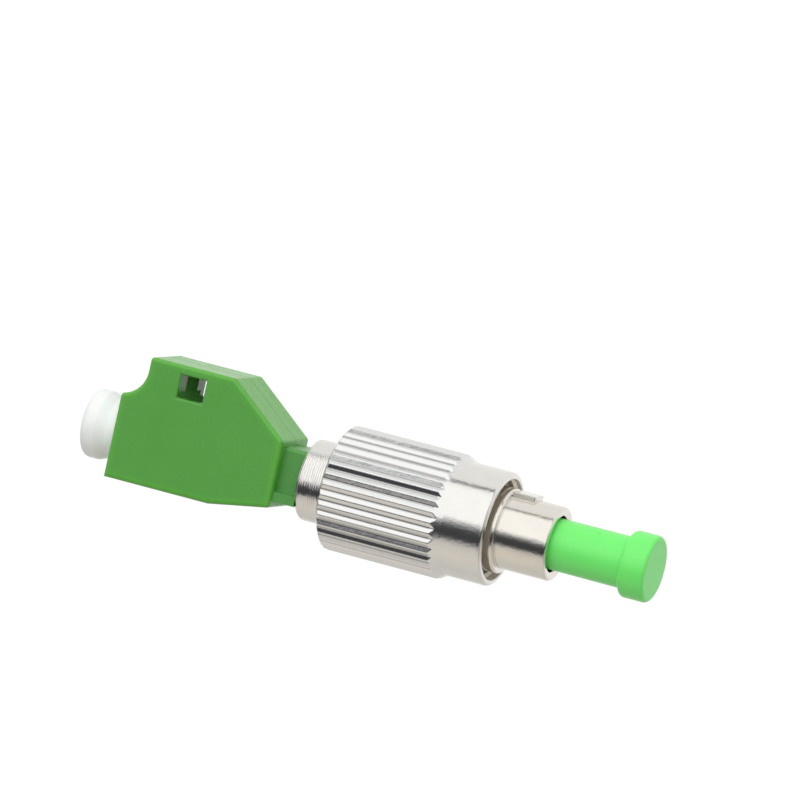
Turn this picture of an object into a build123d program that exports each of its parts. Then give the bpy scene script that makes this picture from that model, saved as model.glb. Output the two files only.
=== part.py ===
from build123d import *
from math import asin, atan2, cos, degrees, hypot, pi, radians, sin
import os

# Hybrid fibre adapter: a keyed 2.5 mm ferrule plug with a coupling nut at one end, and a small
# square port for a 1.25 mm ferrule plug at the other. Millimetres.
# Each piece is drawn in the plug's own frame: x runs along the fibre from the port's face to the
# barrel, y points to the hump of the port's housing, z to the housing's near side. The finished
# pieces are then rolled about x, so that the part lies on its nut and on the hump's far edge.

# Clearances and small radii
BOND_GAP = 0.01
SLIDE_GAP = 0.05
SEAT_GAP = 0.02
EDGE_R = 0.30
RIM_R = 0.25

# Housing of the square port
HOUSING_L = 14.25
HOUSING_W = 6.0
FLOOR_Y = -3.65
HUMP_Y = 6.60
HUMP_END_X = 9.25
REAR_RIM = 0.45
REAR_FLOOR_T = 0.54
BELLY_END_X = 9.10
NOTCH_R = 2.21
NOTCH_X = 1.87
NOTCH_BELOW = 1.20
PORT_W = 4.60
PORT_DEPTH = 10.20
LUG_W = 4.30
LUG_TOP_Y = 4.40
LATCH_W = 2.60
LATCH_ROOF_T = 0.78
LATCH_WALL = 1.60
WINDOW_X = 4.68
WINDOW_L = 2.22
WINDOW_H = 1.87
WINDOW_ROUND = 0.18
POCKET_STEP = 0.20
REAR_WALL = 1.00
PEG_R = 0.42
PEG_L = 0.90
PEG_FRONT_X = 2.40
PEG_MID_X = 8.20
PEG_REAR_X = 10.60
PEG_REAR_UP = 1.60

# Sleeve, its holder and the green core
HOLDER_FLANGE_T = 1.00
HOLDER_WALL = 0.62
HOLDER_LIP = 0.30
SLEEVE_WALL = 0.18
SLEEVE_L = 6.80
SLEEVE_SLIT = 0.30
SLEEVE_OUT = 3.00
STUB_GAP = 0.01
STUB_WAY = 0.07
NECK_W = 4.00
NECK_TOP_Y = 2.25
NECK_BOTTOM_Y = -2.18
NECK_CHAMFER = 0.27
NECK_L = 1.90
RAIL_OUT = 0.60
RAIL_H = 0.79
SLEEVE_STOP = 0.40
SPIGOT_R = 2.25
SPIGOT_ROOM = 0.25

# Rear sleeve, which joins the core to the barrel's stem
REAR_SLEEVE_R = 3.30
REAR_SLEEVE_L = 9.00
REAR_ROUND = 0.35

# Barrel, one turned piece with a collar, a stem and a milled key
BARREL_R = 3.00
BARREL_L = 12.40
BARREL_BORE_R = 2.25
BARREL_BORE_L = 6.90
NOSE_L = 4.25
COLLAR_GAP = 0.15
COLLAR_ROUND = 0.20
STEM_WALL = 0.45
STEM_L = 5.25
NECK_BORE_R = 1.76
NECK_BORE_L = 1.00
SPRING_BORE_R = 2.15
KEY_W = 2.10
KEY_H = 0.30
KEY_BACK = 2.35
KEY_ROUND = 0.20

# Coupling nut
NUT_REAR_L = 6.50
NUT_TRAVEL = 3.00
KNURL_L = 9.75
KNURL_R = 5.05
KNURL_DEPTH = 0.20
KNURL_TEETH = 36
KNURL_TOP_SHARE = 0.12
KNURL_ROOT_SHARE = 0.10
KNURL_TURN_DEG = 3.8
KNURL_REAR_CHAMFER = 0.42
KNURL_REAR_CHAMFER_L = 0.30
CONE_L = 0.80
COLLAR_WALL = 0.50
NUT_COLLAR_L = 3.50
NUT_ROUND = 0.33
THREAD_R = 3.60
MOUTH_STEP = 0.52
MOUTH_L = 1.20
LIP_GAP = 0.10
LIP_L = 1.15
REAR_BORE_GAP = 0.20

# Slip washer inside the nut
WASHER_T = 0.30

# Ferrules, their holder, fibre, spring and stop bush
FERRULE_R = 1.25
FERRULE_L = 12.70
FERRULE_OUT = 4.00
FERRULE_TIP_R = 0.75
FERRULE_TIP_L = 0.70
POLISH_DEG = 8.0
STUB_R = 0.625
STUB_TIP_R = 0.40
STUB_TIP_L = 0.30
STUB_HELD = 1.80
FIBRE_R = 0.0625
FIBRE_GAP = 0.0025
FIBRE_WAY_R = 0.30
STEM_ROD_R = 1.20
HOLDER_COLLAR_L = 1.10
HOLDER_NOSE_L = 2.00
PRESS_TRAVEL = 1.00
PRESS_ROOM = 0.40
SPRING_WIRE_R = 0.18
SPRING_TURNS = 7
STOP_BUSH_L = 1.40
STOP_BUSH_IN = 0.55

# Dust caps
PLUG_CAP_R = 2.80
PLUG_CAP_FLANGE_L = 1.30
PLUG_CAP_CONE_L = 0.80
PLUG_CAP_NECK_R = 2.48
PLUG_CAP_NECK_L = 0.90
PLUG_CAP_ROUND = 0.60
PLUG_CAP_GAP = 0.10
PLUG_CAP_DEPTH = 5.60
PLUG_CAP_BORE_GAP = 0.15
PLUG_CAP_FACE = 1.20
BARREL_CAP_GAP = 0.18
BARREL_CAP_TAPER = 0.03
BARREL_CAP_IN = 1.70
BARREL_CAP_L = 5.97
BARREL_CAP_HEAD_R = 2.70
BARREL_CAP_HEAD_L = 2.25
BARREL_CAP_ROUND = 0.35
BARREL_CAP_GRIP = 0.03
BARREL_CAP_TIP_ROOM = 1.30

# Places and sizes that follow from the ones above, from the port's end to the barrel's
HALF_W = HOUSING_W / 2
REAR_TOP_Y = NECK_TOP_Y + REAR_RIM
REAR_BOTTOM_Y = NECK_BOTTOM_Y - REAR_FLOOR_T
NOTCH_Y = HUMP_Y - NOTCH_BELOW
LATCH_TOP_Y = HUMP_Y - LATCH_ROOF_T
LATCH_END_X = PORT_DEPTH - LATCH_WALL
WINDOW_Y = LATCH_TOP_Y - WINDOW_H
POCKET_W = PORT_W + 2 * POCKET_STEP
POCKET_END_X = HOUSING_L - REAR_WALL
PEG_LOW_Y = (FLOOR_Y - PORT_W / 2) / 2
PEG_REAR_Y = NECK_TOP_Y + PEG_REAR_UP
SLEEVE_R = STUB_R + STUB_GAP + SLEEVE_WALL
SLEEVE_STOP_R = STUB_R + STUB_WAY
HOLDER_TUBE_R = SLEEVE_R + BOND_GAP + HOLDER_WALL
SLEEVE_X = PORT_DEPTH - SLEEVE_OUT
SLEEVE_END_X = SLEEVE_X + SLEEVE_L
CORE_X = PORT_DEPTH + HOLDER_FLANGE_T
ROD_WAY_X = SLEEVE_END_X + SLEEVE_STOP
REAR_SLEEVE_X = HOUSING_L + NECK_L
REAR_SLEEVE_END_X = REAR_SLEEVE_X + REAR_SLEEVE_L
STEM_X = REAR_SLEEVE_END_X - STEM_L
STEM_R = SPRING_BORE_R + STEM_WALL
SPIGOT_END_X = STEM_X - SPIGOT_ROOM
BARREL_FRONT_X = REAR_SLEEVE_END_X + BARREL_L
COLLAR_FRONT_X = BARREL_FRONT_X - NOSE_L
COLLAR_R = THREAD_R - COLLAR_GAP
KEY_TOP_R = BARREL_R + KEY_H
KEY_END_X = BARREL_FRONT_X - KEY_BACK
LIP_X = REAR_SLEEVE_END_X + SLIDE_GAP
LIP_R = BARREL_R + LIP_GAP
LIP_END_X = LIP_X + LIP_L
WASHER_X = LIP_END_X + SEAT_GAP
COLLAR_X = WASHER_X + WASHER_T + NUT_TRAVEL + SLIDE_GAP
NUT_X = LIP_X - NUT_REAR_L
NUT_REAR_BORE_R = REAR_SLEEVE_R + REAR_BORE_GAP
KNURL_END_X = NUT_X + KNURL_L
CONE_END_X = KNURL_END_X + CONE_L
NUT_FRONT_X = CONE_END_X + NUT_COLLAR_L
MOUTH_R = THREAD_R + MOUTH_STEP
NUT_COLLAR_R = MOUTH_R + COLLAR_WALL
NECK_BORE_X = BARREL_FRONT_X - BARREL_BORE_L - NECK_BORE_L
HOLDER_COLLAR_R = SPRING_BORE_R - SLIDE_GAP
HOLDER_COLLAR_X = NECK_BORE_X - SEAT_GAP - HOLDER_COLLAR_L
HOLDER_NOSE_R = NECK_BORE_R - SLIDE_GAP
HOLDER_FRONT_X = HOLDER_COLLAR_X + HOLDER_COLLAR_L + HOLDER_NOSE_L
HOLDER_REAR_X = ROD_WAY_X + PRESS_TRAVEL + PRESS_ROOM
FERRULE_TIP_X = BARREL_FRONT_X + FERRULE_OUT
FERRULE_REAR_X = FERRULE_TIP_X - FERRULE_L
STUB_TIP_X = SLEEVE_X + SLEEVE_L / 2
STUB_END_X = HOLDER_REAR_X + STUB_HELD
STOP_BUSH_X = STEM_X + STOP_BUSH_IN
BUSH_END_X = STOP_BUSH_X + STOP_BUSH_L
SPRING_R = (STEM_ROD_R + SPRING_BORE_R) / 2
PLUG_CAP_W = PORT_W - 2 * PLUG_CAP_GAP
PLUG_CAP_BORE_R = HOLDER_TUBE_R + PLUG_CAP_BORE_GAP
BARREL_CAP_R = BARREL_BORE_R - BARREL_CAP_GAP
BARREL_CAP_TOP_R = BARREL_CAP_R + BARREL_CAP_TAPER
CAP_X = BARREL_FRONT_X - BARREL_CAP_IN
CAP_HEAD_X = BARREL_FRONT_X + BARREL_CAP_L

# The roll at which the knurling and the hump's far edge touch one flat surface
EDGE_Y = HUMP_Y - EDGE_R
EDGE_Z = HALF_W - EDGE_R
REST_ROLL = degrees(asin((KNURL_R - EDGE_R) / hypot(EDGE_Y, EDGE_Z)) - atan2(EDGE_Z, EDGE_Y))


def turned(*corners):
    """A piece turned about the fibre axis, from corners (x, radius) or (x, radius, rounding)."""
    outline = make_face(Polyline(*[corner[:2] for corner in corners], close=True))
    for x, radius, rounding in [corner for corner in corners if len(corner) == 3]:
        corner = outline.vertices().sort_by_distance((x, radius, 0))[0]
        outline = fillet(corner, rounding)
    return revolve(outline, Axis.X, 360)


def rod(x, end, radius):
    """A plain rod on the fibre axis, used for bores and round pieces."""
    return turned((x, 0), (end, 0), (end, radius), (x, radius))


def block(x, end, bottom, top, width):
    """A box centred on the fibre axis across the housing."""
    return Pos((x + end) / 2, (bottom + top) / 2, 0) * Box(end - x, top - bottom, width)


def housing():
    """The closed housing, before it is parted into its two halves."""
    side = make_face(
        Polyline(
            (0, FLOOR_Y),
            (BELLY_END_X, FLOOR_Y),
            (HOUSING_L, REAR_BOTTOM_Y),
            (HOUSING_L, REAR_TOP_Y),
            (HUMP_END_X, HUMP_Y),
            (0, HUMP_Y),
            close=True,
        )
    )
    side -= Pos(NOTCH_X - NOTCH_R, NOTCH_Y) * Circle(NOTCH_R)
    side -= Pos(NOTCH_X - NOTCH_R, NOTCH_Y + NOTCH_R) * Rectangle(2 * NOTCH_R, 2 * NOTCH_R)
    rounded = side.vertices().filter_by(lambda v: v.Y > HUMP_Y - EDGE_R or v.X > HUMP_END_X)
    rounded += side.vertices().filter_by(lambda v: v.X < EDGE_R and 0 < v.Y < NOTCH_Y)
    side = fillet(rounded, EDGE_R)
    body = Pos(0, 0, -HALF_W) * extrude(side, HOUSING_W)
    outline = body.faces().filter_by(Plane.XY).edges()
    body = fillet(outline, EDGE_R)
    body -= block(-1, PORT_DEPTH, -PORT_W / 2, PORT_W / 2, PORT_W)
    body -= block(-1, LATCH_END_X, 0, LUG_TOP_Y, LUG_W)
    body -= block(-1, LATCH_END_X, 0, LATCH_TOP_Y, LATCH_W)
    window = block(WINDOW_X, WINDOW_X + WINDOW_L, WINDOW_Y, LATCH_TOP_Y, HOUSING_W)
    body = body - window
    sides = body.faces().filter_by(Plane.XY).sort_by(Axis.Z)
    rims = sides[0].inner_wires().edges() + sides[-1].inner_wires().edges()
    body = fillet(rims, WINDOW_ROUND)
    body -= block(PORT_DEPTH, CORE_X, -POCKET_W / 2, POCKET_W / 2, POCKET_W)
    body -= block(CORE_X, POCKET_END_X, NECK_BOTTOM_Y, NECK_TOP_Y, POCKET_W)
    body -= block(POCKET_END_X, HOUSING_L + 1, NECK_BOTTOM_Y, NECK_TOP_Y, NECK_W)
    return body


def pegs(radius, length):
    """Three alignment pegs, or with a clearance their sockets, which start at the joint."""
    places = [
        (PEG_FRONT_X, PEG_LOW_Y),
        (PEG_MID_X, PEG_LOW_Y),
        (PEG_REAR_X, PEG_REAR_Y),
    ]
    return [Pos(x, y, -length / 2) * Cylinder(radius, length) for x, y in places]


def near_half():
    """The half towards the viewer, with the pegs."""
    half = split(housing(), Plane.XY, keep=Keep.TOP)
    return half + pegs(PEG_R, PEG_L)


def far_half():
    """The other half, with the pegs' sockets."""
    half = split(housing(), Plane.XY, keep=Keep.BOTTOM)
    return half - pegs(PEG_R + SEAT_GAP, PEG_L + SLIDE_GAP)


def sleeve_holder():
    """A tube with a square flange that stands in the port and holds the split sleeve."""
    flange_w = POCKET_W - 2 * SEAT_GAP
    body = block(PORT_DEPTH, CORE_X, -flange_w / 2, flange_w / 2, flange_w)
    lip_x = SLEEVE_X - HOLDER_LIP
    tube = turned(
        (lip_x, 0),
        (PORT_DEPTH, 0),
        (PORT_DEPTH, HOLDER_TUBE_R),
        (lip_x, HOLDER_TUBE_R, EDGE_R),
    )
    body += tube
    body -= rod(lip_x, CORE_X, SLEEVE_STOP_R)
    return body - rod(SLEEVE_X, CORE_X, SLEEVE_R + BOND_GAP)


def split_sleeve():
    """A ceramic tube with one slit, which grips both small ferrules."""
    tube = rod(SLEEVE_X, SLEEVE_END_X, SLEEVE_R)
    tube -= rod(SLEEVE_X, SLEEVE_END_X, SLEEVE_R - SLEEVE_WALL)
    return tube - block(SLEEVE_X, SLEEVE_END_X, 0, 2 * SLEEVE_R, SLEEVE_SLIT)


def core():
    """The green core: a flange inside the housing, the neck behind it and a round spigot."""
    body = block(CORE_X, REAR_SLEEVE_X, NECK_BOTTOM_Y, NECK_TOP_Y, NECK_W)
    top_edges = body.edges().filter_by(Axis.X).sort_by(Axis.Y)[-2:]
    body = chamfer(top_edges, NECK_CHAMFER)
    flange_w = POCKET_W - 2 * SEAT_GAP
    flange_end = POCKET_END_X - SEAT_GAP
    body += block(CORE_X, flange_end, NECK_BOTTOM_Y, NECK_TOP_Y, flange_w)
    rail_w = NECK_W + 2 * RAIL_OUT
    rail_top = NECK_BOTTOM_Y + RAIL_H
    body += block(HOUSING_L, REAR_SLEEVE_X, NECK_BOTTOM_Y, rail_top, rail_w)
    body += rod(REAR_SLEEVE_X, SPIGOT_END_X, SPIGOT_R)
    body -= rod(CORE_X, SLEEVE_END_X, SLEEVE_R + BOND_GAP)
    body -= rod(SLEEVE_END_X, SPIGOT_END_X, SLEEVE_STOP_R)
    return body - rod(ROD_WAY_X, SPIGOT_END_X, STEM_ROD_R + SLIDE_GAP)


def rear_sleeve():
    """The metal sleeve that takes the core's spigot and the barrel's threaded stem."""
    body = turned(
        (REAR_SLEEVE_X, SPIGOT_R + SEAT_GAP),
        (STEM_X - SLIDE_GAP, SPIGOT_R + SEAT_GAP),
        (STEM_X - SLIDE_GAP, STEM_R + BOND_GAP),
        (REAR_SLEEVE_END_X, STEM_R + BOND_GAP),
        (REAR_SLEEVE_END_X, REAR_SLEEVE_R),
        (REAR_SLEEVE_X, REAR_SLEEVE_R, REAR_ROUND),
    )
    return body


def barrel():
    """The keyed barrel with its collar and the stem behind it."""
    body = turned(
        (STEM_X, SPRING_BORE_R),
        (NECK_BORE_X, SPRING_BORE_R),
        (NECK_BORE_X, NECK_BORE_R),
        (NECK_BORE_X + NECK_BORE_L, NECK_BORE_R),
        (NECK_BORE_X + NECK_BORE_L, BARREL_BORE_R),
        (BARREL_FRONT_X, BARREL_BORE_R, RIM_R),
        (BARREL_FRONT_X, BARREL_R, RIM_R),
        (COLLAR_FRONT_X, BARREL_R),
        (COLLAR_FRONT_X, COLLAR_R, COLLAR_ROUND),
        (COLLAR_X, COLLAR_R),
        (COLLAR_X, BARREL_R),
        (REAR_SLEEVE_END_X, BARREL_R),
        (REAR_SLEEVE_END_X, STEM_R),
        (STEM_X, STEM_R),
    )
    key_low = (BARREL_R + BARREL_BORE_R) / 2
    key = block(COLLAR_FRONT_X, KEY_END_X, key_low, KEY_TOP_R, KEY_W)
    front_edges = key.edges().filter_by(Axis.Y).sort_by(Axis.X)[-2:]
    key = fillet(front_edges, KEY_ROUND)
    top_edges = key.edges().group_by(Axis.Y)[-1].sort_by(Axis.X)[1:]
    key = fillet(top_edges, SLIDE_GAP)
    return body + key


def knurled_rod():
    """The nut's knurled length: straight teeth with sloping sides and chamfered ends."""
    step = 2 * pi / KNURL_TEETH
    root_r = KNURL_R - KNURL_DEPTH
    shares = [
        (KNURL_R, -KNURL_TOP_SHARE / 2),
        (KNURL_R, KNURL_TOP_SHARE / 2),
        (root_r, (1 - KNURL_ROOT_SHARE) / 2),
        (root_r, (1 + KNURL_ROOT_SHARE) / 2),
    ]
    points = []
    for tooth in range(KNURL_TEETH):
        for radius, share in shares:
            angle = (tooth + share) * step + radians(KNURL_TURN_DEG)
            points.append((radius * cos(angle), radius * sin(angle)))
    section = Plane.YZ.offset(NUT_X) * make_face(Polyline(*points, close=True))
    teeth = extrude(section, KNURL_L + CONE_L)
    envelope = turned(
        (NUT_X, 0),
        (CONE_END_X, 0),
        (CONE_END_X, NUT_COLLAR_R),
        (KNURL_END_X, KNURL_R),
        (NUT_X + KNURL_REAR_CHAMFER_L, KNURL_R),
        (NUT_X, KNURL_R - KNURL_REAR_CHAMFER),
    )
    return teeth & envelope


def coupling_nut():
    """The coupling nut: knurling, cone, smooth collar, thread bore, inner lip and rear bore."""
    front = turned(
        (CONE_END_X, 0),
        (NUT_FRONT_X, 0),
        (NUT_FRONT_X, NUT_COLLAR_R, NUT_ROUND),
        (CONE_END_X, NUT_COLLAR_R),
    )
    body = knurled_rod() + front
    inside = turned(
        (NUT_X, 0),
        (NUT_FRONT_X, 0),
        (NUT_FRONT_X, MOUTH_R),
        (NUT_FRONT_X - MOUTH_L, MOUTH_R),
        (NUT_FRONT_X - MOUTH_L - (MOUTH_R - THREAD_R), THREAD_R),
        (LIP_END_X, THREAD_R),
        (LIP_END_X, LIP_R),
        (LIP_X, LIP_R),
        (LIP_X, NUT_REAR_BORE_R),
        (NUT_X, NUT_REAR_BORE_R),
    )
    return body - inside


def slip_washer():
    """A thin washer on the barrel, which the nut's lip pushes against."""
    ring = rod(WASHER_X, WASHER_X + WASHER_T, THREAD_R - SLIDE_GAP)
    return ring - rod(WASHER_X, WASHER_X + WASHER_T, BARREL_R + SLIDE_GAP)


def angled_face(x, tilt):
    """A large block whose rear face cuts a ferrule's tip at the polish angle."""
    size = 6 * FERRULE_R
    return Pos(x, 0, 0) * Rot(0, 0, tilt) * Pos(size / 2, 0, 0) * Box(size, size, size)


def ferrule():
    """The 2.5 mm ferrule with its tapered, angle-polished tip."""
    body = turned(
        (FERRULE_REAR_X, 0),
        (FERRULE_TIP_X, 0),
        (FERRULE_TIP_X, FERRULE_TIP_R),
        (FERRULE_TIP_X - FERRULE_TIP_L, FERRULE_R),
        (FERRULE_REAR_X, FERRULE_R),
    )
    body -= angled_face(FERRULE_TIP_X - FERRULE_TIP_R * sin(POLISH_DEG * pi / 180), POLISH_DEG)
    return body - rod(FERRULE_REAR_X, FERRULE_TIP_X, FIBRE_R + FIBRE_GAP)


def stub_ferrule():
    """The 1.25 mm stub that meets the plug's ferrule inside the split sleeve."""
    body = turned(
        (STUB_TIP_X, 0),
        (STUB_END_X, 0),
        (STUB_END_X, STUB_R),
        (STUB_TIP_X + STUB_TIP_L, STUB_R),
        (STUB_TIP_X, STUB_TIP_R),
    )
    tip = angled_face(-STUB_TIP_X - STUB_TIP_R * sin(POLISH_DEG * pi / 180), POLISH_DEG)
    body -= Rot(0, 180, 0) * tip
    return body - rod(STUB_TIP_X, STUB_END_X, FIBRE_R + FIBRE_GAP)


def ferrule_holder():
    """The metal rod and collar that carry both ferrules."""
    body = turned(
        (HOLDER_REAR_X, 0),
        (HOLDER_FRONT_X, 0),
        (HOLDER_FRONT_X, HOLDER_NOSE_R),
        (HOLDER_COLLAR_X + HOLDER_COLLAR_L, HOLDER_NOSE_R),
        (HOLDER_COLLAR_X + HOLDER_COLLAR_L, HOLDER_COLLAR_R),
        (HOLDER_COLLAR_X, HOLDER_COLLAR_R),
        (HOLDER_COLLAR_X, STEM_ROD_R),
        (HOLDER_REAR_X, STEM_ROD_R),
    )
    body -= rod(HOLDER_REAR_X, HOLDER_FRONT_X, FIBRE_WAY_R)
    body -= rod(HOLDER_REAR_X, STUB_END_X, STUB_R + BOND_GAP)
    return body - rod(FERRULE_REAR_X, HOLDER_FRONT_X, FERRULE_R + BOND_GAP)


def fibre():
    """The bare glass fibre from one polished tip to the other."""
    x = STUB_TIP_X + STUB_TIP_R * sin(POLISH_DEG * pi / 180)
    end = FERRULE_TIP_X - FERRULE_TIP_R * sin(POLISH_DEG * pi / 180)
    return rod(x, end, FIBRE_R)


def stop_bush():
    """The bush in the barrel's stem that the spring pushes against."""
    ring = rod(STOP_BUSH_X, BUSH_END_X, SPRING_BORE_R - SEAT_GAP)
    return ring - rod(STOP_BUSH_X, BUSH_END_X, STEM_ROD_R + SLIDE_GAP)


def spring():
    """The compression spring between the stop bush and the holder's collar."""
    length = HOLDER_COLLAR_X - BUSH_END_X - 2 * SPRING_WIRE_R - 2 * SEAT_GAP
    path = Helix(length / SPRING_TURNS, length, SPRING_R)
    wire = sweep(Plane(path @ 0, z_dir=path % 0) * Circle(SPRING_WIRE_R), path)
    return Pos(BUSH_END_X + SPRING_WIRE_R + SEAT_GAP, 0, 0) * Rot(0, 90, 0) * wire


def port_cap():
    """The white cap: a round flange, a tapered neck and a hollow square plug."""
    neck_x = -PLUG_CAP_NECK_L
    cone_x = neck_x - PLUG_CAP_CONE_L
    face_x = cone_x - PLUG_CAP_FLANGE_L
    body = turned(
        (face_x, 0),
        (0, 0),
        (0, PLUG_CAP_NECK_R),
        (neck_x, PLUG_CAP_NECK_R),
        (cone_x, PLUG_CAP_R, EDGE_R),
        (face_x, PLUG_CAP_R, PLUG_CAP_ROUND),
    )
    half = PLUG_CAP_W / 2
    plug = block(0, PLUG_CAP_DEPTH, -half, half, PLUG_CAP_W)
    plug = fillet(plug.edges().filter_by(Axis.X), EDGE_R)
    body += plug
    return body - rod(PLUG_CAP_FACE, PLUG_CAP_DEPTH, PLUG_CAP_BORE_R)


def barrel_cap():
    """The bright green cap: a slightly tapered body, a wider head and a bore for the ferrule."""
    end = CAP_HEAD_X + BARREL_CAP_HEAD_L
    body = turned(
        (CAP_X, 0),
        (end, 0),
        (end, BARREL_CAP_HEAD_R, BARREL_CAP_ROUND),
        (CAP_HEAD_X, BARREL_CAP_HEAD_R, BARREL_CAP_ROUND),
        (CAP_HEAD_X, BARREL_CAP_TOP_R),
        (CAP_X, BARREL_CAP_R, EDGE_R),
    )
    bore_r = FERRULE_R + BARREL_CAP_GRIP
    return body - rod(CAP_X, FERRULE_TIP_X + BARREL_CAP_TIP_ROOM, bore_r)


PIECES = {
    "near_housing_half": near_half,
    "far_housing_half": far_half,
    "sleeve_holder": sleeve_holder,
    "split_sleeve": split_sleeve,
    "port_core": core,
    "rear_sleeve": rear_sleeve,
    "keyed_barrel": barrel,
    "coupling_nut": coupling_nut,
    "slip_washer": slip_washer,
    "main_ferrule": ferrule,
    "stub_ferrule": stub_ferrule,
    "ferrule_holder": ferrule_holder,
    "fibre": fibre,
    "stop_bush": stop_bush,
    "ferrule_spring": spring,
    "port_dust_cap": port_cap,
    "barrel_dust_cap": barrel_cap,
}

os.makedirs("parts", exist_ok=True)
for name, make in PIECES.items():
    export_step(Rot(-REST_ROLL, 0, 0) * make(), f"parts/{name}.step")
print("rest roll", round(REST_ROLL, 2), "degrees, barrel's front at", round(BARREL_FRONT_X, 2))
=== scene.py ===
import bpy
from math import cos, hypot, pi, radians, sin
from mathutils import Matrix, Vector


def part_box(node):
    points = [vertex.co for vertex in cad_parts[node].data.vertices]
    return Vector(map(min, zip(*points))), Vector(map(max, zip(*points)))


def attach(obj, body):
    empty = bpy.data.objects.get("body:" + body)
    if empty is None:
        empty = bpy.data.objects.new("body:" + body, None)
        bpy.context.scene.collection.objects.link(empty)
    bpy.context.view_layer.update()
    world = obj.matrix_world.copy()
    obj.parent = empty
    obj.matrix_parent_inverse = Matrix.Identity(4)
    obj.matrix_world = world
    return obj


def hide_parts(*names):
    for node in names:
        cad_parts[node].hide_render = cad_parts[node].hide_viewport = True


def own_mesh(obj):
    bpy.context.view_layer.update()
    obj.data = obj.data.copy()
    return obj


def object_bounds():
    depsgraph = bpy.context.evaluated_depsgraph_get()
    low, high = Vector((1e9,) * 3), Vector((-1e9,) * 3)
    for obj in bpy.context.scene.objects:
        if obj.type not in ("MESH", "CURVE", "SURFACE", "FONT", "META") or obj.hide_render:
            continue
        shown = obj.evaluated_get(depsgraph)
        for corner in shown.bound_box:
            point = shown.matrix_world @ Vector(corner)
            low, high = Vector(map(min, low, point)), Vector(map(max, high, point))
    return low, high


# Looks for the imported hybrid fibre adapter. Metres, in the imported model's frame. Patterns are
# worked out in the part's own frame in millimetres: x along the fibre, y to the housing's hump,
# z to its near side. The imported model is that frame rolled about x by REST_ROLL.

REST_ROLL = radians(20.67)
MM = 0.001
MIDDLE = 24.1 * MM

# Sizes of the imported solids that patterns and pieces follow, in millimetres. OUTLINE is the side
# view of the housing, round from the port's face at the hump.
OUTLINE = [(0, 6.60), (0, -3.65), (9.10, -3.65), (14.25, -2.72), (14.25, 2.70), (9.25, 6.60)]
NOTCH_X = -0.34
NOTCH_Y = 5.40
NOTCH_R = 2.21
COLLAR_R = 4.62
KNURL_END = 28.45
VALLEY_R = 4.865
NUT_FRONT = 32.75
MOUTH_R = 4.12
MOUTH_L = 1.20
KEY_REAR = 33.4
KEY_FOOT = 2.82
KEY_HALF = 1.05

# Camera: its axes in the part's own frame, its scale, its distance in metres, and where the
# picture shows the middle of the part, in pixels from the picture's centre
TOWARDS = (0.3267, 0.1173, 0.9378)
RIGHT = (0.9138, 0.2141, -0.3451)
UP = (-0.2412, 0.9698, -0.0372)
PIXELS_A_MM = 12.653
DISTANCE = 0.726
PIXELS_RIGHT = 2.05
PIXELS_DOWN = 103.31
PICTURE = 800
SENSOR = 36

WHITE = (1.0, 1.0, 1.0, 1.0)

# Nearly all values of a noise lie between these
NOISE_LOW = 0.3
NOISE_HIGH = 0.7

# The floor's tones in mirrors, by y in millimetres. High y is the hump's side.
FLOOR_TONES = [
    (-60.0, (0.66, 0.64, 0.60)),
    (-14.0, (0.66, 0.64, 0.60)),
    (-6.0, (1.0, 1.0, 1.0)),
    (6.0, (0.96, 0.95, 0.93)),
    (30.0, (0.96, 0.95, 0.93)),
    (33.0, (0.12, 0.12, 0.13)),
    (52.0, (0.12, 0.12, 0.13)),
    (56.0, (1.1, 1.09, 1.06)),
    (100.0, (1.1, 1.09, 1.06)),
]

# The world's tones in mirrors and as light, in degrees round the x axis, from +y over the top
WORLD_TONES = [
    (-180, (0.80, 0.76, 0.70)),
    (-90, (0.80, 0.76, 0.70)),
    (-30, (1.24, 1.23, 1.21)),
    (62, (1.24, 1.23, 1.21)),
    (66, (0.92, 0.92, 0.92)),
    (74, (0.30, 0.30, 0.31)),
    (82, (0.08, 0.08, 0.085)),
    (90, (0.06, 0.06, 0.065)),
    (102, (0.06, 0.06, 0.065)),
    (106, (0.21, 0.21, 0.21)),
    (114, (0.65, 0.62, 0.59)),
    (122, (0.74, 0.69, 0.64)),
    (138, (0.79, 0.74, 0.67)),
    (170, (0.72, 0.69, 0.64)),
    (180, (0.67, 0.65, 0.61)),
]

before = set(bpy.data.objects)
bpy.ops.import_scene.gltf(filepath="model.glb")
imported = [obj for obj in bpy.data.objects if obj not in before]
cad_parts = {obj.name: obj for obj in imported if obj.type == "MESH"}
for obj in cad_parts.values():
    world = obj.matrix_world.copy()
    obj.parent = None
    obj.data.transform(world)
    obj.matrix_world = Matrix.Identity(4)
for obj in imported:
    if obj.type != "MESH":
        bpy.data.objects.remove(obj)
cad_low, cad_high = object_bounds()
scene = bpy.context.scene


def to_row(x, y, z):
    """A point or direction of the part's own frame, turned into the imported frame."""
    return Matrix.Rotation(-REST_ROLL, 3, "X") @ Vector((x, y, z))


def shade(value):
    """A colour of three sRGB values from 0 to 255, as linear RGBA by the sRGB curve."""
    return tuple(((v / 255 + 0.055) / 1.055) ** 2.4 if v > 10 else v / 3294 for v in value) + (1.0,)


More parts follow.
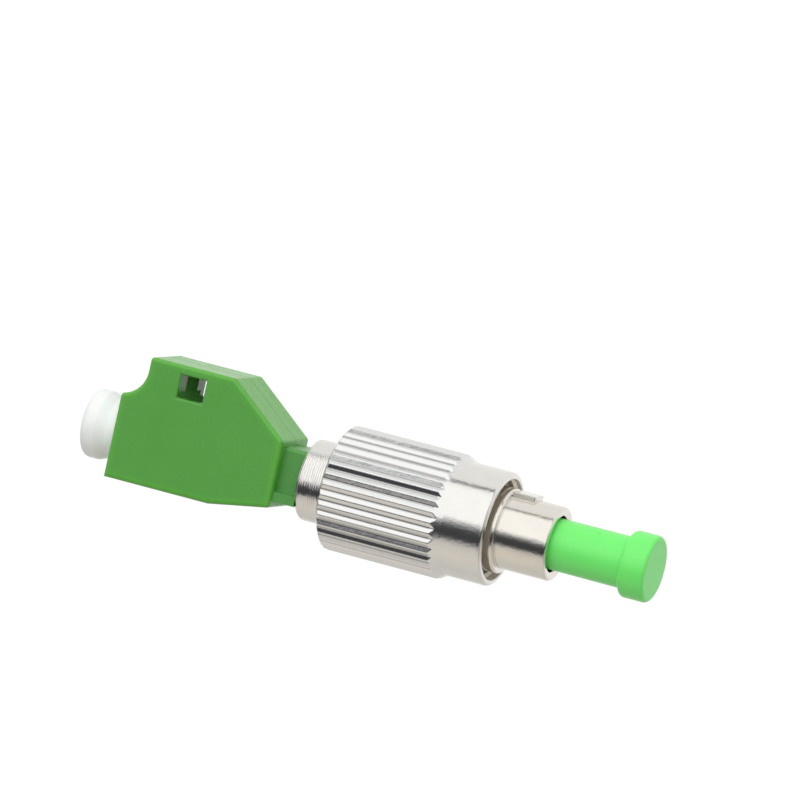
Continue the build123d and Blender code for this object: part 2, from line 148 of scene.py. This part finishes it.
class Graph:
    """A node tree, with short calls that add nodes and join them."""

    def __init__(self, tree):
        self.tree = tree
        self.tree.nodes.clear()

    def node(self, kind, **settings):
        made = self.tree.nodes.new(kind)
        for name, value in settings.items():
            setattr(made, name, value)
        return made

    def join(self, value, socket):
        """Links a socket, or sets a plain value on the socket itself."""
        if isinstance(value, bpy.types.NodeSocket):
            self.tree.links.new(value, socket)
        else:
            socket.default_value = value

    def fed(self, node, *values):
        """Feeds a node's first sockets in order and gives its first output."""
        for value, socket in zip(values, node.inputs):
            self.join(value, socket)
        return node.outputs[0]

    def math(self, operation, *values):
        return self.fed(self.node("ShaderNodeMath", operation=operation), *values)

    def times(self, first, second):
        return self.math("MULTIPLY", first, second)

    def plus(self, first, second):
        return self.math("ADD", first, second)

    def absolute(self, value):
        return self.math("ABSOLUTE", value)

    def radius(self, *values):
        """Length of the vector with these values as its x, y and z."""
        vector = self.fed(self.node("ShaderNodeCombineXYZ"), *values)
        length = self.node("ShaderNodeVectorMath", operation="LENGTH")
        self.join(vector, length.inputs[0])
        return length.outputs["Value"]

    def ranged(self, value, low, high, out_low=0.0, out_high=1.0, soft=False):
        """Maps low..high to out_low..out_high, and holds the ends."""
        node = self.node("ShaderNodeMapRange", interpolation_type="SMOOTHSTEP" if soft else "LINEAR")
        return self.fed(node, value, low, high, out_low, out_high)

    def mixed(self, factor, first, second):
        """Mixes two colours, which are inputs 6 and 7 and output 2 of the node."""
        node = self.node("ShaderNodeMix", data_type="RGBA")
        self.join(factor, node.inputs[0])
        self.join(first, node.inputs[6])
        self.join(second, node.inputs[7])
        return node.outputs[2]

    def ramp(self, value, stops):
        """Colours by value, from stops that rise from the lowest value to the highest."""
        low, high = stops[0][0], stops[-1][0]
        node = self.node("ShaderNodeValToRGB")
        bar = node.color_ramp.elements
        while len(bar) < len(stops):
            bar.new(1.0)
        for spot, (place, _) in zip(bar, stops):
            spot.position = (place - low) / (high - low)
        for spot, (_, colour) in zip(bar, stops):
            spot.color = (*colour, 1.0)
        self.join(self.ranged(value, low, high), node.inputs[0])
        return node.outputs[0]

    def rays(self, *kinds):
        """One for light paths of any of these kinds, else zero."""
        path = self.node("ShaderNodeLightPath")
        seen = path.outputs[f"Is {kinds[0]} Ray"]
        for kind in kinds[1:]:
            seen = self.math("MAXIMUM", seen, path.outputs[f"Is {kind} Ray"])
        return seen


class Finish(Graph):
    """A material of a piece, with the place in the part's own frame in millimetres."""

    def __init__(self, name):
        self.material = bpy.data.materials.new(name)
        self.material.use_nodes = True
        super().__init__(self.material.node_tree)
        self.shader = self.node("ShaderNodeBsdfPrincipled")
        output = self.node("ShaderNodeOutputMaterial")
        self.join(self.shader.outputs[0], output.inputs["Surface"])
        place = self.node("ShaderNodeTexCoord")
        turn = self.node("ShaderNodeVectorRotate", rotation_type="X_AXIS")
        turn.inputs["Angle"].default_value = REST_ROLL
        self.join(place.outputs["Object"], turn.inputs["Vector"])
        scaled = self.node("ShaderNodeVectorMath", operation="SCALE")
        scaled.inputs["Scale"].default_value = 1 / MM
        self.join(turn.outputs[0], scaled.inputs[0])
        self.place = scaled.outputs[0]
        parts = self.node("ShaderNodeSeparateXYZ")
        self.join(self.place, parts.inputs[0])
        self.x, self.y, self.z = parts.outputs

    def set(self, **values):
        """Sets the shader's own sockets by name, with underscores for spaces."""
        for name, value in values.items():
            self.join(value, self.shader.inputs[name.replace("_", " ")])
        return self

    def stretched(self, x, y, z):
        """The place, scaled along each axis of the part's own frame."""
        node = self.node("ShaderNodeVectorMath", operation="MULTIPLY")
        return self.fed(node, self.place, (x, y, z))

    def noise(self, per_mm, detail, roughness, place=None):
        node = self.node("ShaderNodeTexNoise")
        node.inputs["Scale"].default_value = per_mm
        node.inputs["Detail"].default_value = detail
        node.inputs["Roughness"].default_value = roughness
        self.join(place or self.place, node.inputs["Vector"])
        return node.outputs["Fac"]

    def spread(self, noise, out_low=0.0, out_high=1.0):
        """Spreads a noise over the whole of out_low..out_high."""
        return self.ranged(noise, NOISE_LOW, NOISE_HIGH, out_low, out_high)

    def distance(self, start, end):
        """Distance in the x-y plane to the left of a line, in millimetres."""
        along = (end[0] - start[0], end[1] - start[1])
        length = hypot(*along)
        from_x = self.times(self.plus(self.x, -start[0]), -along[1] / length)
        return self.math("MULTIPLY_ADD", self.plus(self.y, -start[1]), along[0] / length, from_x)

    def rounded(self, radius_mm):
        """Normals that run softly over edges, as on a plated or tumbled piece."""
        node = self.node("ShaderNodeBevel", samples=8)
        node.inputs["Radius"].default_value = radius_mm * MM
        return node.outputs[0]

    def bump(self, height, depth_mm, normal=None):
        """Normals of a pattern of this depth, laid over other normals where they are given."""
        node = self.node("ShaderNodeBump")
        node.inputs["Distance"].default_value = depth_mm * MM
        self.join(height, node.inputs["Height"])
        if normal is not None:
            self.join(normal, node.inputs["Normal"])
        return node.outputs[0]


def moulded(name, light, dark, gloss, grain_mm, glow=None):
    """Moulded plastic: slow colour drift, a fine spark-eroded grain and faint flow marks."""
    speck_share = 0.25
    flow_mm = 0.008
    look = Finish(name)
    drift = look.noise(0.35, 3.0, 0.6)
    speck = look.noise(7.0, 2.0, 0.6)
    amount = look.math("MULTIPLY_ADD", speck, speck_share, look.times(drift, 1 - speck_share))
    look.colour = look.mixed(look.spread(amount), shade(dark), shade(light))
    look.rough = look.spread(look.noise(1.6, 4.0, 0.65), gloss - 0.05, gloss + 0.06)
    grain = look.bump(look.noise(14.0, 3.0, 0.7), grain_mm)
    flow = look.noise(0.9, 2.0, 0.5, look.stretched(0.4, 1.0, 1.0))
    look.normal = look.bump(flow, flow_mm, grain)
    look.set(Base_Color=look.colour, Roughness=look.rough, Normal=look.normal, IOR=1.5)
    if glow:
        look.set(Subsurface_Weight=glow, Subsurface_Scale=0.0012)
    return look


def housing_plastic():
    """The housing's plastic: painted highlights on thin rims, lengthwise drag marks and the halves'
    joint.
    """
    painted_rim_highlight = (88, 172, 58)
    rim_width = 0.75
    joint_dark = (58, 112, 50)
    joint_share = 0.45
    joint_depth = 0.02
    drag_depth = 0.03
    look = moulded("housing_green", (85, 159, 67), (82, 155, 64), gloss=0.27, grain_mm=0.0008)
    from_notch = look.radius(look.plus(look.x, -NOTCH_X), look.plus(look.y, -NOTCH_Y))
    near = look.plus(from_notch, -NOTCH_R)
    for start, end in zip(OUTLINE, OUTLINE[1:] + OUTLINE[:1]):
        near = look.math("MINIMUM", near, look.distance(start, end))
    # Painted highlight: the housing's thin rims are lightened, standing in for the studio screen's
    # bright reflection in their rounded edges.
    rim_highlight_mask = look.ranged(near, rim_width, 0.05, soft=True)
    uneven = look.spread(look.noise(0.8, 2.0, 0.5), 0.55, 1.0)
    colour = look.mixed(look.times(rim_highlight_mask, uneven), look.colour, shade(painted_rim_highlight))
    drag = look.noise(1.0, 3.0, 0.6, look.stretched(0.05, 0.05, 2.6))
    streak = look.ranged(drag, 0.35, 0.65)
    joint = look.ranged(look.absolute(look.z), 0.06, 0.02)
    colour = look.mixed(look.times(joint, joint_share), colour, shade(joint_dark))
    rough = look.math("MULTIPLY_ADD", streak, 0.10, look.plus(look.rough, -0.06))
    normal = look.bump(drag, drag_depth, look.normal)
    normal = look.bump(look.times(joint, -1), joint_depth, normal)
    return look.set(Base_Color=colour, Roughness=rough, Normal=normal)


def plated(name, light, dark, gloss, pitch, groove_mm, grain_mm, edge_mm=None):
    """Plated or bare metal: turning grooves, a fine grain and slow stains."""
    wander = 9.0
    ripple_mm = 0.012
    look = Finish(name)
    edges = look.rounded(edge_mm) if edge_mm else None
    stain = look.noise(0.8, 4.0, 0.6)
    look.colour = look.mixed(look.ranged(stain, 0.35, 0.7), shade(light), shade(dark))
    uneven = look.noise(1.0, 2.0, 0.5, look.stretched(2.2, 0.25, 0.25))
    phase = look.math("MULTIPLY_ADD", uneven, wander, look.times(look.x, 2 * pi / pitch))
    wave = look.math("MULTIPLY_ADD", look.math("SINE", phase), 0.5, 0.5)
    grooves = look.bump(wave, groove_mm, edges)
    marks = look.noise(1.0, 3.0, 0.6, look.stretched(9.0, 1.2, 1.2))
    turned = look.bump(marks, groove_mm, grooves)
    grain = look.bump(look.noise(3.6, 3.0, 0.75), grain_mm, turned)
    normal = look.bump(look.noise(0.9, 1.0, 0.5), ripple_mm, grain)
    look.rough = look.ranged(marks, 0.3, 0.75, gloss, gloss + 0.05)
    return look.set(Base_Color=look.colour, Metallic=1.0, Roughness=look.rough, Normal=normal)


def nut_plate():
    """The nut's plate: cooler on the knurl, painted shade in its valleys, and dull and brownish
    inside.
    """
    knurl_cool = (225, 226, 226)
    painted_valley_shade = (96, 95, 94)
    valley_shade_share = 0.42
    inside_warm = (238, 231, 220)
    inside_dull = 0.34
    inside_metal = 0.3
    look = plated(
        "nut_nickel", (227, 226, 223), (224, 223, 220),
        gloss=0.06, pitch=0.11, groove_mm=0.0006, grain_mm=0.011, edge_mm=0.15,
    )
    # Each mask has a soft edge of some hundredths of a millimetre
    out = look.radius(0.0, look.y, look.z)
    knurl = look.ranged(out, COLLAR_R + 0.08, COLLAR_R + 0.16)
    # Painted shade: the valleys between the knurl's ridges are darkened, standing in for the dark
    # lines that the ridges' steep flanks show in reflection.
    valley_shade_mask = look.times(look.ranged(look.x, KNURL_END, KNURL_END - 0.02), knurl)
    valley_shade_mask = look.times(valley_shade_mask, look.ranged(out, VALLEY_R + 0.03, VALLEY_R, 0.0, valley_shade_share))
    inside = look.ranged(out, MOUTH_R + 0.06, MOUTH_R + 0.01)
    colour = look.mixed(knurl, look.colour, shade(knurl_cool))
    colour = look.mixed(valley_shade_mask, colour, shade(painted_valley_shade))
    colour = look.mixed(inside, colour, shade(inside_warm))
    rough = look.math("MULTIPLY_ADD", inside, inside_dull, look.rough)
    metallic = look.math("MULTIPLY_ADD", inside, inside_metal - 1.0, 1.0)
    return look.set(Base_Color=colour, Roughness=rough, Metallic=metallic)


def barrel_plate():
    """The barrel's plate, duller on the key's sawn sides."""
    sawn_dull = 0.38
    look = plated(
        "barrel_nickel", (226, 223, 216), (223, 219, 212),
        gloss=0.06, pitch=0.13, groove_mm=0.0008, grain_mm=0.013, edge_mm=0.08,
    )
    ahead = look.math("GREATER_THAN", look.x, KEY_REAR)
    above = look.math("GREATER_THAN", look.y, KEY_FOOT)
    beside = look.math("GREATER_THAN", look.absolute(look.z), KEY_HALF - 0.05)
    sides = look.times(ahead, look.times(above, beside))
    return look.set(Roughness=look.math("MULTIPLY_ADD", sides, sawn_dull, look.rough))


def zirconia():
    """Polished ceramic with faint grinding rings."""
    ring_mm = 0.001
    look = Finish("ceramic")
    colour = look.mixed(look.noise(1.2, 3.0, 0.6), shade((245, 243, 236)), shade((238, 236, 228)))
    rings = look.bump(look.noise(2.0, 3.0, 0.6, look.stretched(9.0, 1.0, 1.0)), ring_mm)
    rough = look.spread(look.noise(3.0, 2.0, 0.5), 0.08, 0.16)
    look.set(Base_Color=colour, Roughness=rough, Normal=rings, IOR=2.1)
    return look.set(Subsurface_Weight=0.1, Subsurface_Scale=0.0005)


def clear_glass():
    """The fibre's glass, nearly clear and with a trace of grain."""
    grain_mm = 0.0004
    look = Finish("fibre_glass")
    colour = look.mixed(look.noise(2.0, 2.0, 0.5), shade((236, 246, 250)), shade((226, 240, 246)))
    rough = look.spread(look.noise(6.0, 2.0, 0.5), 0.02, 0.07)
    grain = look.bump(look.noise(20.0, 2.0, 0.5), grain_mm)
    look.set(Base_Color=colour, Roughness=rough, Normal=grain, IOR=1.46)
    return look.set(Transmission_Weight=0.9)


def new_object(name, points, faces):
    """An object of its own, made of these points and faces."""
    mesh = bpy.data.meshes.new(name)
    mesh.from_pydata(points, [], faces)
    made = bpy.data.objects.new(name, mesh)
    scene.collection.objects.link(made)
    return made


def thread_lead(look):
    """The first turns of the nut's thread, a ridge inside its mouth that runs out at both ends."""
    pitch = 0.75
    half_width = 0.24
    sunk = 0.03
    crest_r = 3.80
    behind_mouth = 0.05
    behind_front = 0.42
    steps_a_turn = 72
    run_out_steps = 14
    base_r = MOUTH_R + sunk
    start = NUT_FRONT - MOUTH_L - behind_mouth
    end = NUT_FRONT - behind_front
    count = int((end - start) / pitch * steps_a_turn)
    points = []
    for number in range(count + 1):
        x = start + pitch * number / steps_a_turn
        angle = 2 * pi * number / steps_a_turn
        height = min(1, number / run_out_steps, (count - number) / run_out_steps)
        top_r = base_r - (base_r - crest_r) * height
        for radius, shift in ((base_r, -half_width), (top_r, 0), (base_r, half_width)):
            points.append(to_row(x + shift, radius * cos(angle), radius * sin(angle)) * MM)
    faces = []
    for number in range(count):
        a = 3 * number
        faces += [(a, a + 3, a + 4, a + 1), (a + 1, a + 4, a + 5, a + 2), (a + 2, a + 5, a + 3, a)]
    faces += [(0, 1, 2), (3 * count + 2, 3 * count + 1, 3 * count)]
    ridge = new_object("nut_thread_lead", points, faces)
    ridge.data.materials.append(look.material)
    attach(ridge, "nut")


def press_spring(look):
    """The ferrules' spring as a piece of its own, a coil of round wire in the imported spring's
    place.
    """
    wire_r = 0.18 * MM
    turns = 7
    steps_a_turn = 48
    sides = 12
    low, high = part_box("ferrule_spring")
    coil_r = (high.y - low.y) / 2 - wire_r
    start = low.x + wire_r
    length = high.x - low.x - 2 * wire_r
    rise = length / (2 * pi * turns)
    count = turns * steps_a_turn
    points = []
    for number in range(count + 1):
        angle = 2 * pi * number / steps_a_turn
        outward = Vector((0, cos(angle), sin(angle)))
        along = Vector((rise, -coil_r * sin(angle), coil_r * cos(angle))).normalized()
        centre = Vector((start + length * number / count, 0, 0)) + outward * coil_r
        second = along.cross(outward)
        for side in range(sides):
            turn = 2 * pi * side / sides
            points.append(centre + (outward * cos(turn) + second * sin(turn)) * wire_r)
    faces = []
    for number in range(count):
        for side in range(sides):
            a = number * sides + side
            b = number * sides + (side + 1) % sides
            faces.append((a, b, b + sides, a + sides))
    faces.append(tuple(reversed(range(sides))))
    faces.append(tuple(range(count * sides, (count + 1) * sides)))
    coil = new_object("ferrule_spring_coil", points, faces)
    coil.data.polygons.foreach_set("use_smooth", [len(face) == 4 for face in faces])
    coil.data.materials.append(look.material)
    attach(coil, "adapter")
    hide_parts("ferrule_spring")
    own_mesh(coil)


def add_floor():
    """A floor that is white for the camera and has FLOOR_TONES in mirrors. For both it mostly glows,
    with a matt share that shows the part's shadow faintly. All other light finds it matt."""
    half = 4.0
    gap = 0.00002
    glow = 1.06
    glow_share = 0.92
    grey = (0.82, 0.82, 0.82, 1)
    z = cad_low.z - gap
    corners = [(-half, -half, z), (half, -half, z), (half, half, z), (-half, half, z)]
    floor = new_object("floor", corners, [(0, 1, 2, 3)])
    material = bpy.data.materials.new("floor")
    material.use_nodes = True
    ground = Graph(material.node_tree)
    matt = ground.node("ShaderNodeBsdfDiffuse")
    matt.inputs["Color"].default_value = grey
    lit = ground.node("ShaderNodeEmission")
    place = ground.node("ShaderNodeTexCoord").outputs["Object"]
    parts = ground.node("ShaderNodeSeparateXYZ")
    ground.join(place, parts.inputs[0])
    strip = ground.ramp(ground.times(parts.outputs["Y"], 1 / MM), FLOOR_TONES)
    ground.join(ground.mixed(ground.rays("Glossy"), WHITE, strip), lit.inputs["Color"])
    lit.inputs["Strength"].default_value = glow
    both = ground.node("ShaderNodeMixShader")
    share = ground.times(ground.rays("Camera", "Glossy", "Transmission"), glow_share)
    output = ground.node("ShaderNodeOutputMaterial")
    ground.join(ground.fed(both, share, matt.outputs[0], lit.outputs[0]), output.inputs["Surface"])
    floor.data.materials.append(material)


def add_world():
    """White for the camera. In mirrors and as light, a large pale screen on the hump's side, a dark
    gap overhead and a warmer wall behind, all dimmer towards both ends of the x axis."""
    # Walls along the fibre mirror directions with x at -mirrored, and the tones turn on both sides
    # of it: lean and bend are in degrees for a step of one in x.
    mirrored = 0.327
    lean = 20.0
    bend = -25.0
    dim_start = 0.60
    dim_end = 0.92
    end_light = 0.45
    world = bpy.data.worlds.new("studio")
    scene.world = world
    world.use_nodes = True
    sky = Graph(world.node_tree)
    parts = sky.node("ShaderNodeSeparateXYZ")
    sky.join(sky.node("ShaderNodeTexCoord").outputs["Generated"], parts.inputs[0])
    x, y, z = parts.outputs
    angle = sky.times(sky.math("ARCTAN2", z, y), 180 / pi)
    aside = sky.plus(x, mirrored)
    bent = sky.times(sky.absolute(aside), bend)
    around = sky.plus(angle, sky.math("MULTIPLY_ADD", aside, lean, bent))
    dimmed = sky.node("ShaderNodeVectorMath", operation="SCALE")
    sky.join(sky.ramp(around, WORLD_TONES), dimmed.inputs[0])
    dim = sky.ranged(sky.absolute(x), dim_start, dim_end, 1.0, end_light, soft=True)
    sky.join(dim, dimmed.inputs["Scale"])
    background = sky.node("ShaderNodeBackground")
    sky.join(sky.mixed(sky.rays("Camera"), dimmed.outputs[0], WHITE), background.inputs["Color"])
    output = sky.node("ShaderNodeOutputWorld")
    sky.join(background.outputs[0], output.inputs["Surface"])


def add_lamp():
    """A soft lamp above the hump's side, which mirrors don't show."""
    tilt = radians(63)
    data = bpy.data.lights.new("softbox", "AREA")
    data.shape = "SQUARE"
    data.size = 0.30
    data.energy = 0.49
    lamp = bpy.data.objects.new("softbox", data)
    lamp.location = (MIDDLE, 0.34, 0.17)
    lamp.rotation_euler = (-tilt, 0, 0)
    lamp.visible_glossy = False
    lamp.visible_camera = False
    scene.collection.objects.link(lamp)


def add_camera():
    """The camera, at the photograph's direction, distance and framing."""
    towards, right, up = (to_row(*axis).normalized() for axis in (TOWARDS, RIGHT, UP))
    pivot = Vector((MIDDLE, 0, 0))
    target = pivot - right * (PIXELS_RIGHT / PIXELS_A_MM * MM) + up * (PIXELS_DOWN / PIXELS_A_MM * MM)
    data = bpy.data.cameras.new("camera")
    data.sensor_width = SENSOR
    data.lens = PIXELS_A_MM / MM * DISTANCE * SENSOR / PICTURE
    data.clip_start = 0.01
    data.clip_end = 20
    camera = bpy.data.objects.new("camera", data)
    stand = pivot + towards * DISTANCE
    back = (stand - target).normalized()
    across = up.cross(back).normalized()
    axes = Matrix((across, back.cross(across), back)).transposed()
    camera.matrix_world = Matrix.Translation(stand) @ axes.to_4x4()
    scene.collection.objects.link(camera)
    scene.camera = camera


housing = housing_plastic()
core = moulded("core_green", (84, 152, 74), (80, 146, 70), gloss=0.32, grain_mm=0.002)
cap_green = moulded(
    "cap_green", (117, 239, 117), (113, 236, 113), gloss=0.32, grain_mm=0.0006, glow=0.25
)
cap_white = moulded(
    "cap_white", (240, 244, 243), (236, 240, 239), gloss=0.32, grain_mm=0.0008, glow=0.10
)
sleeve_metal = plated(
    "sleeve_nickel", (226, 225, 222), (223, 221, 218),
    gloss=0.06, pitch=0.19, groove_mm=0.020, grain_mm=0.006,
)
nut_metal = nut_plate()
barrel_metal = barrel_plate()
wire_metal = plated(
    "wire_steel", (196, 198, 202), (182, 184, 190),
    gloss=0.22, pitch=0.3, groove_mm=0.002, grain_mm=0.004,
)
ceramic = zirconia()
glass = clear_glass()

FINISHES = {
    "near_housing_half": housing,
    "far_housing_half": housing,
    "sleeve_holder": core,
    "port_core": core,
    "split_sleeve": ceramic,
    "rear_sleeve": sleeve_metal,
    "keyed_barrel": barrel_metal,
    "coupling_nut": nut_metal,
    "slip_washer": barrel_metal,
    "stop_bush": barrel_metal,
    "ferrule_holder": barrel_metal,
    "main_ferrule": ceramic,
    "stub_ferrule": ceramic,
    "fibre": glass,
    "ferrule_spring": wire_metal,
    "port_dust_cap": cap_white,
    "barrel_dust_cap": cap_green,
}
for node, look in FINISHES.items():
    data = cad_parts[node].data
    data.materials.clear()
    data.materials.append(look.material)

thread_lead(nut_metal)
press_spring(wire_metal)
add_floor()
add_world()
add_lamp()
add_camera()

scene.view_settings.view_transform = "Standard"
